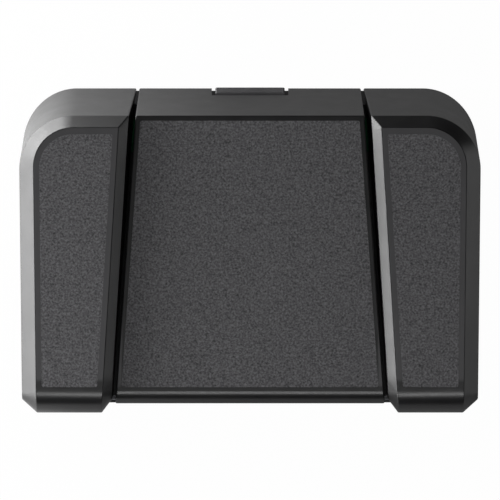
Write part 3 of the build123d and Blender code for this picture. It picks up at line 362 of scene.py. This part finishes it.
def copy_of(node, name):
    """A new piece with a copy of a CAD node's mesh and material."""
    piece = bpy.data.objects.new(name, node.data.copy())
    bpy.context.scene.collection.objects.link(piece)
    return piece


def living_spring(side):
    """The return spring again, as a piece of the base with a mesh of its own."""
    node = frame["nodes"][f"{side}_spring"]
    spring = copy_of(node, f"{side}_living_spring")
    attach(spring, "base")
    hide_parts(node.name)
    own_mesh(spring)


def chamfer_lift(point):
    """How far a point of either outer shell goes up: fully at the inner chamfer's foot, less at its ends."""
    run = CHAMFER_FOOT_REAR - CHAMFER_FOOT_FRONT
    foot = CHAMFER_FOOT_FRONT + run * ((point.y - CHAMFER_FOOT_FRONT.y) / run.y)
    if max(abs(abs(point.x) - foot.x), abs(point.z - foot.z)) > CHAMFER_FOOT_REACH:
        return 0.0
    room = min(point.y - CHAMFER_FOOT_FRONT.y, CHAMFER_FOOT_REAR.y - point.y)
    return CHAMFER_LIFT * min(max(room / CHAMFER_LIFT_FADE, 0.0), 1.0)


def lift_chamfer(mesh):
    """Cuts a shell's mesh at both ends of the full lift, and lifts the chamfer's foot."""
    work = bmesh.new()
    work.from_mesh(mesh)
    bmesh.ops.remove_doubles(work, verts=work.verts, dist=SAME_POINT)
    full_from = CHAMFER_FOOT_FRONT.y + CHAMFER_LIFT_FADE
    full_to = CHAMFER_FOOT_REAR.y - CHAMFER_LIFT_FADE
    for y in (full_from, full_to):
        everything = work.verts[:] + work.edges[:] + work.faces[:]
        bmesh.ops.bisect_plane(work, geom=everything, plane_co=(0.0, y, 0.0), plane_no=(0.0, 1.0, 0.0))
    bmesh.ops.triangulate(work, faces=work.faces)
    for vertex in work.verts:
        vertex.co.z += chamfer_lift(vertex.co)
    work.to_mesh(mesh)
    work.free()


def flatter_shell(side):
    """An outer pedal's shell again, with its inner chamfer laid back to about 45 degrees."""
    node = frame["nodes"][f"{side}_pedal_shell"]
    shell = copy_of(node, f"{side}_flatter_shell")
    lift_chamfer(shell.data)
    if "custom_normal" in shell.data.attributes:
        shell.data.attributes.remove(shell.data.attributes["custom_normal"])
    shell.data.shade_smooth()
    shell.data.set_sharp_from_angle(angle=math.radians(SHARP_ANGLE))
    shell.modifiers.new("flat_faces", "WEIGHTED_NORMAL").keep_sharp = True
    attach(shell, f"{side}_pedal")
    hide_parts(node.name)


def beyond_gaps(tree, x, y):
    """Zero on the floor seen through the gaps between the pedals, and one beyond it."""
    between = all_of(
        tree,
        math_node(tree, "LESS_THAN", math_node(tree, "ABSOLUTE", x), GAP_HALF_WIDTH),
        math_node(tree, "GREATER_THAN", y, GAP_FRONT_Y),
        math_node(tree, "LESS_THAN", y, GAP_REAR_Y),
    )
    return math_node(tree, "SUBTRACT", 1.0, between)


def floor_material():
    """White to the camera, and to gloss a lit floor with a painted reflection: painted shade that dims it,
    and a painted glow, by place.
    """
    material = bpy.data.materials.new("floor_white")
    tree = node_tree(material)
    path = add(tree, "ShaderNodeLightPath")
    x, y = object_axes(tree)[:2]
    seen = math_node(tree, "MULTIPLY", path.outputs["Is Camera Ray"], beyond_gaps(tree, x, y))
    mirrored = math_node(tree, "MAXIMUM", path.outputs["Is Glossy Ray"], path.outputs["Is Transmission Ray"])
    # Painted shade in the floor's reflection: for gloss, a share that grows towards the right turns the
    # floor black
    painted_shade = math_node(tree, "MULTIPLY", mirrored, mapped(tree, x, 0.0, GLOSS_PAINTED_SHADE_SHARE, *GLOSS_PAINTED_SHADE_X))
    lit = add(tree, "ShaderNodeBsdfDiffuse")
    lit.inputs["Color"].default_value = (FLOOR_WHITE, FLOOR_WHITE, FLOOR_WHITE, 1.0)
    white = add(tree, "ShaderNodeEmission")
    tree.links.new(path.outputs["Is Camera Ray"], white.inputs["Strength"])
    mix = add(tree, "ShaderNodeMixShader")
    glowing = math_node(tree, "MULTIPLY", seen, FLOOR_GLOW_SHARE)
    tree.links.new(math_node(tree, "ADD", glowing, painted_shade), mix.inputs["Fac"])
    tree.links.new(lit.outputs["BSDF"], mix.inputs[1])
    tree.links.new(white.outputs["Emission"], mix.inputs[2])
    # Painted reflection: a glow that only gloss sees, at the left and in front
    left = mapped(tree, x, GLOSS_PAINTED_LEFT_GLOW, 0.0, *GLOSS_LEFT_X)
    front = mapped(tree, y, GLOSS_PAINTED_FRONT_GLOW, 0.0, *GLOSS_FRONT_Y)
    glow = add(tree, "ShaderNodeEmission")
    tree.links.new(math_node(tree, "MULTIPLY", mirrored, math_node(tree, "ADD", left, front)),
                   glow.inputs["Strength"])
    both = add(tree, "ShaderNodeAddShader")
    tree.links.new(mix.outputs["Shader"], both.inputs[0])
    tree.links.new(glow.outputs["Emission"], both.inputs[1])
    output = add(tree, "ShaderNodeOutputMaterial")
    tree.links.new(both.outputs["Shader"], output.inputs["Surface"])
    return material


def white_floor():
    bpy.ops.mesh.primitive_plane_add(size=2 * FLOOR_HALF)
    floor = bpy.context.object
    floor.name = "studio_floor"
    floor.data.materials.append(floor_material())


def softbox(name, place, aim, size, watts):
    data = bpy.data.lights.new(name, "AREA")
    data.shape = "RECTANGLE"
    data.size, data.size_y = size
    data.energy = watts
    lamp = bpy.data.objects.new(name, data)
    bpy.context.scene.collection.objects.link(lamp)
    lamp.location = place
    lamp.rotation_mode = "QUATERNION"
    lamp.rotation_quaternion = (Vector(aim) - Vector(place)).to_track_quat("-Z", "Y")


def studio_light():
    """Long boxes low on the left, two high in front, a faint one on the right, and the room itself."""
    for name, (place, aim, size, watts) in LAMPS.items():
        softbox(name, place, aim, size, watts)
    world = bpy.data.worlds.new("studio")
    bpy.context.scene.world = world
    world.use_nodes = True
    tree = world.node_tree
    background = tree.nodes["Background"]
    background.inputs["Color"].default_value = (1.0, 1.0, 1.0, 1.0)
    path = add(tree, "ShaderNodeLightPath")
    tree.links.new(mapped(tree, path.outputs["Is Camera Ray"], WORLD_LEVEL, WORLD_SEEN, 0.0, 1.0),
                   background.inputs["Strength"])


def photo_camera():
    data = bpy.data.cameras.new("photo_camera")
    data.lens = LENS_MM
    data.sensor_width = SENSOR_MM
    data.sensor_fit = "HORIZONTAL"
    data.clip_start, data.clip_end = CAMERA_CLIP
    camera = bpy.data.objects.new("photo_camera", data)
    bpy.context.scene.collection.objects.link(camera)
    elevation = math.radians(CAMERA_ELEVATION)
    back = Vector((0.0, -math.cos(elevation), math.sin(elevation)))
    camera.location = CAMERA_TARGET + back * CAMERA_DISTANCE
    camera.rotation_mode = "QUATERNION"
    camera.rotation_quaternion = (-back).to_track_quat("-Z", "Y")
    bpy.context.scene.camera = camera


dress_nodes()
for side in ("left", "centre", "right"):
    living_spring(side)
for side in ("left", "right"):
    flatter_shell(side)
white_floor()
studio_light()
photo_camera()
bpy.context.scene.view_settings.view_transform = "Standard"
